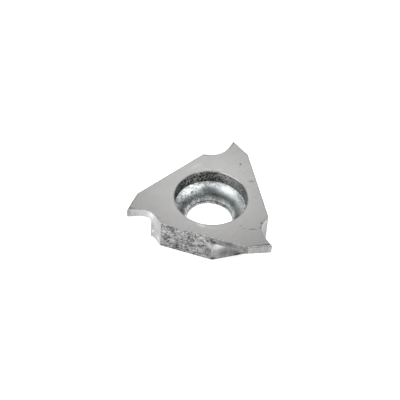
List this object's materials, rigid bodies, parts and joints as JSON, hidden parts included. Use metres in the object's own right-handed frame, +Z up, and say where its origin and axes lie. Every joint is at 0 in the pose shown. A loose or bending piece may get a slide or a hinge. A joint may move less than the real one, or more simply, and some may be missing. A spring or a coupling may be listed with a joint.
{
  "type": "carbide insert",
  "caption": "Triangular laydown grooving insert of sintered carbide: a stepped screw hole, and at each corner a thin ground blade with a curved gullet and a relief pocket below.",
  "frame": {"origin": "on the screw hole's axis at the seating face", "axes": "+Z up the screw hole, out through the head recess; +Y towards one cutting corner"},
  "size_m": [0.0139, 0.0128, 0.0032],
  "materials": {
    "carbide": "fine-ground faces and tips, as-sintered side walls and hole"
  },
  "bodies": {
    "root": {"insert_body": "carbide"}
  },
  "joints": []
}
